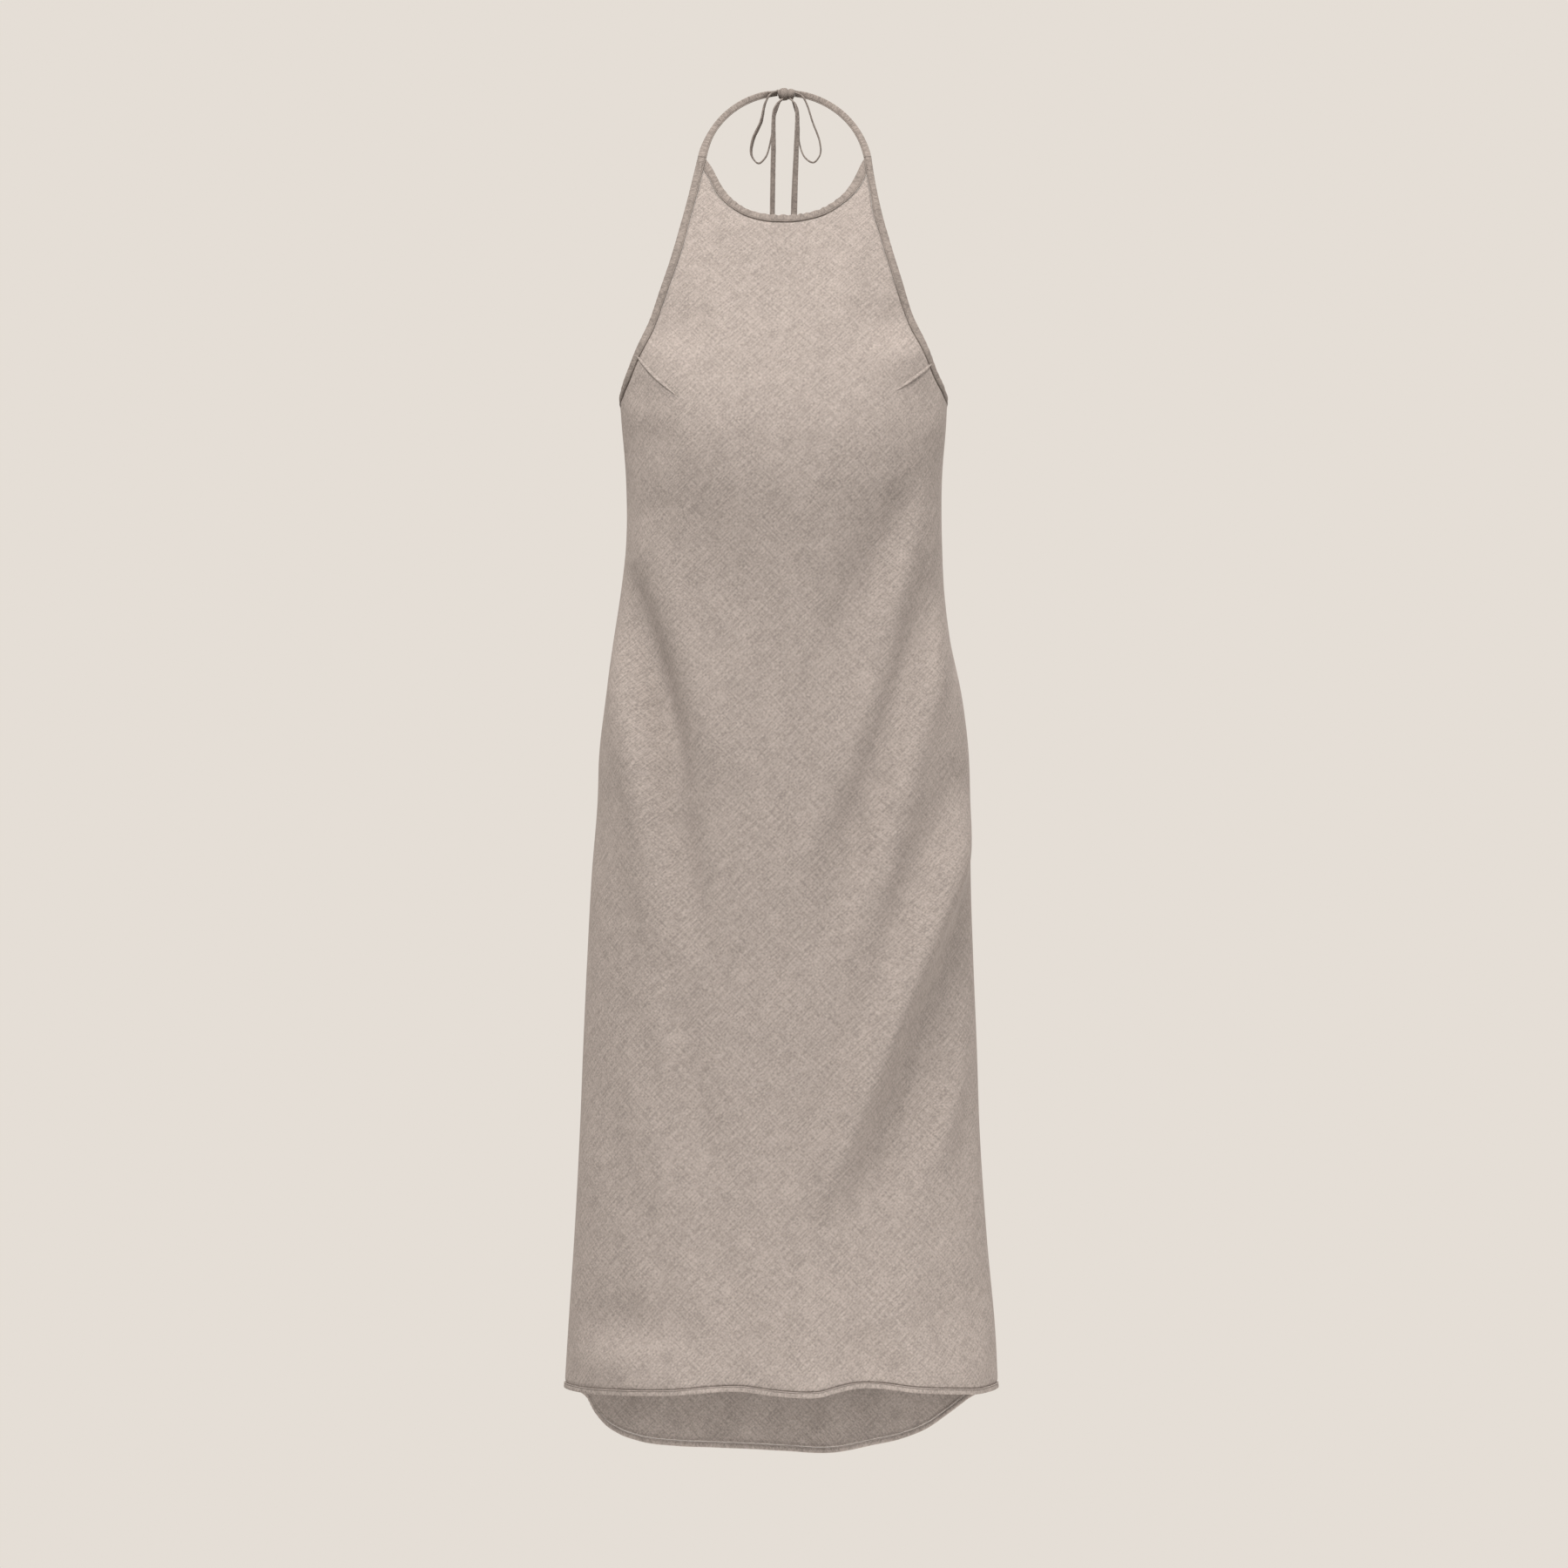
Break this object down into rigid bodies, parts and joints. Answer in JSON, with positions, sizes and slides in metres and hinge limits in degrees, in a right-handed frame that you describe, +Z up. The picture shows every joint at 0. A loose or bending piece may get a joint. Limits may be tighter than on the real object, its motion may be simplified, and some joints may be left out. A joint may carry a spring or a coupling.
{
  "type": "halter dress",
  "caption": "Long bias-cut linen halter dress, filled out and hollow, with a bound neckline, open back, neck ties in a bow and a dipped back hem.",
  "frame": {"origin": "the nape, in the middle of the tied neck loop, where the wearer's neck holds the dress", "axes": "the dress faces -Y, +Z is up along its length, +X is to the right as seen from the front"},
  "size_m": [0.4389, 0.234, 1.4014],
  "materials": {
    "linen": "matt washed linen on the bias, taupe with paler and darker slubs",
    "binding": "the same linen folded into narrow bias binding, slightly deeper in tone"
  },
  "bodies": {
    "root": {"front": "linen", "back": "linen", "neck_binding": "binding", "armhole_binding_left": "binding", "armhole_binding_right": "binding", "back_binding": "binding", "strap_left": "binding", "strap_right": "binding", "knot": "binding", "bow_loop_left": "binding", "bow_loop_right": "binding", "tail_left": "binding", "tail_right": "binding", "front_hem": "linen", "back_hem": "linen"}
  },
  "joints": []
}
